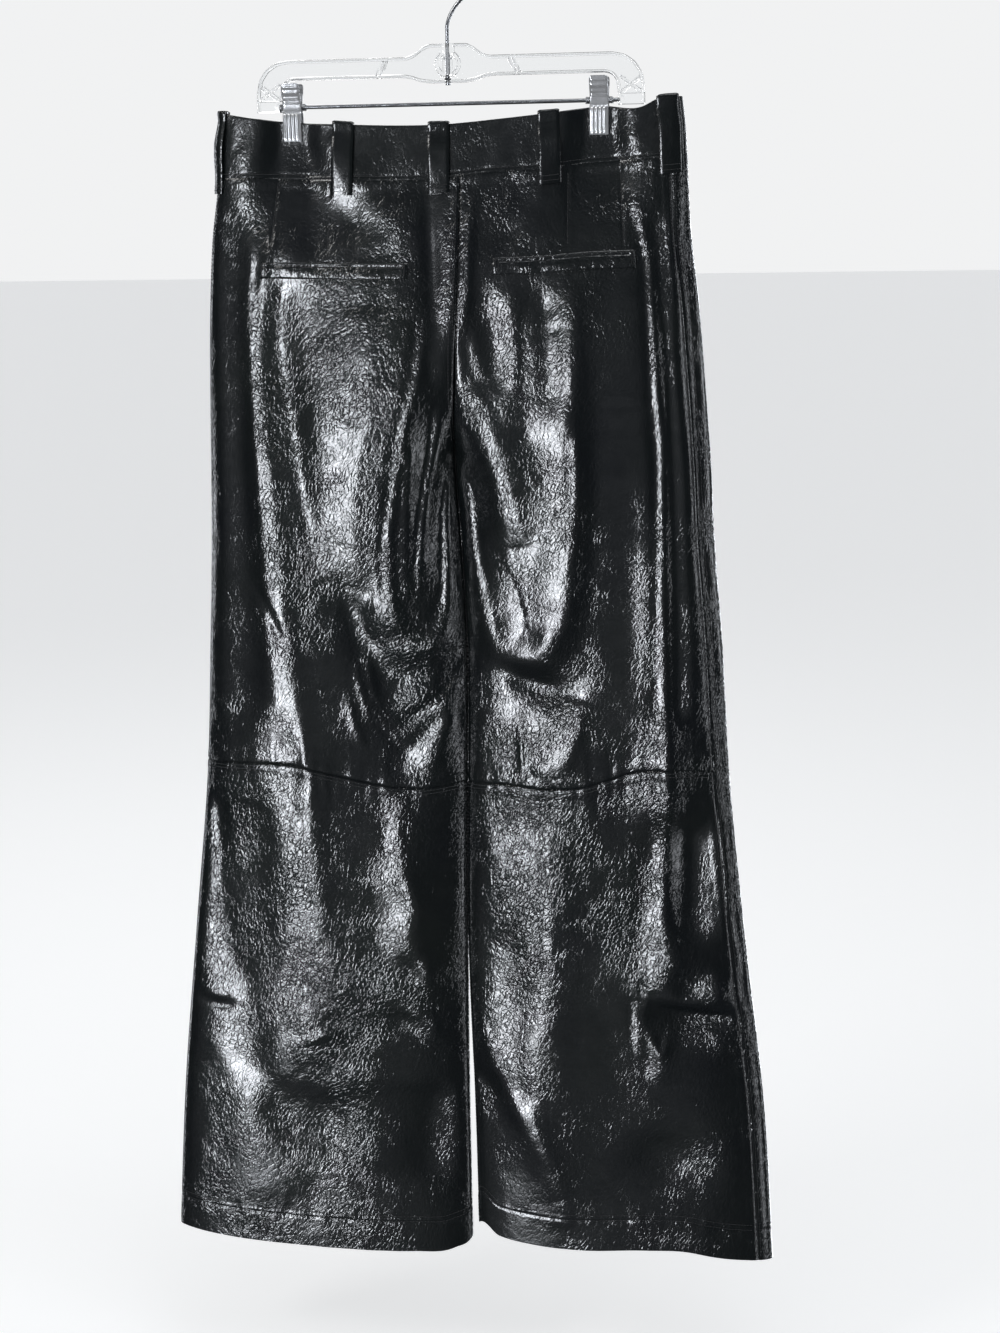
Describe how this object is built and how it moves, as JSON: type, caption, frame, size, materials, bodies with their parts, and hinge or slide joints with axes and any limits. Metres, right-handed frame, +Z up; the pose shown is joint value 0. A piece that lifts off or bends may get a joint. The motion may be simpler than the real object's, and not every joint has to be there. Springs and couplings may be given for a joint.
{
  "type": "faux leather wide-leg trousers on a clip hanger",
  "caption": "Wide-leg trousers of glossy crinkled faux leather, hung flat by the waistband from a clear clip hanger, back outwards.",
  "frame": {"origin": "the inside of the hook's crown, where it rests on a rail", "axes": "+Z up, -Y towards the pictured side, which is the back of the trousers, +X to that side's right"},
  "size_m": [0.6152, 0.0692, 1.2828],
  "materials": {
    "faux_leather": "black polyurethane faux leather, glossy and finely crinkled like patent leather",
    "button": "black four-hole button",
    "clear_plastic": "clear moulded polystyrene",
    "steel": "bright zinc plated steel wire and rod",
    "chrome": "chrome plated pressed steel"
  },
  "bodies": {
    "root": {"back_left_upper": "faux_leather", "back_left_lower": "faux_leather", "back_right_upper": "faux_leather", "back_right_lower": "faux_leather", "front_left": "faux_leather", "front_right": "faux_leather", "waistband_back": "faux_leather", "waistband_front_left": "faux_leather", "waistband_front_right": "faux_leather", "belt_loop_back_left": "faux_leather", "belt_loop_back_centre": "faux_leather", "belt_loop_back_right": "faux_leather", "belt_loop_front_left": "faux_leather", "belt_loop_front_right": "faux_leather", "belt_loop_side_left": "faux_leather", "belt_loop_side_right": "faux_leather", "pocket_welt_left": "faux_leather", "pocket_welt_right": "faux_leather", "fly_flap": "faux_leather", "waist_button": "button", "hanger_body": "clear_plastic", "hook": "steel", "rod": "steel", "clip_jaw_left_back": "chrome", "clip_jaw_left_front": "chrome", "clip_jaw_right_back": "chrome", "clip_jaw_right_front": "chrome"}
  },
  "joints": []
}
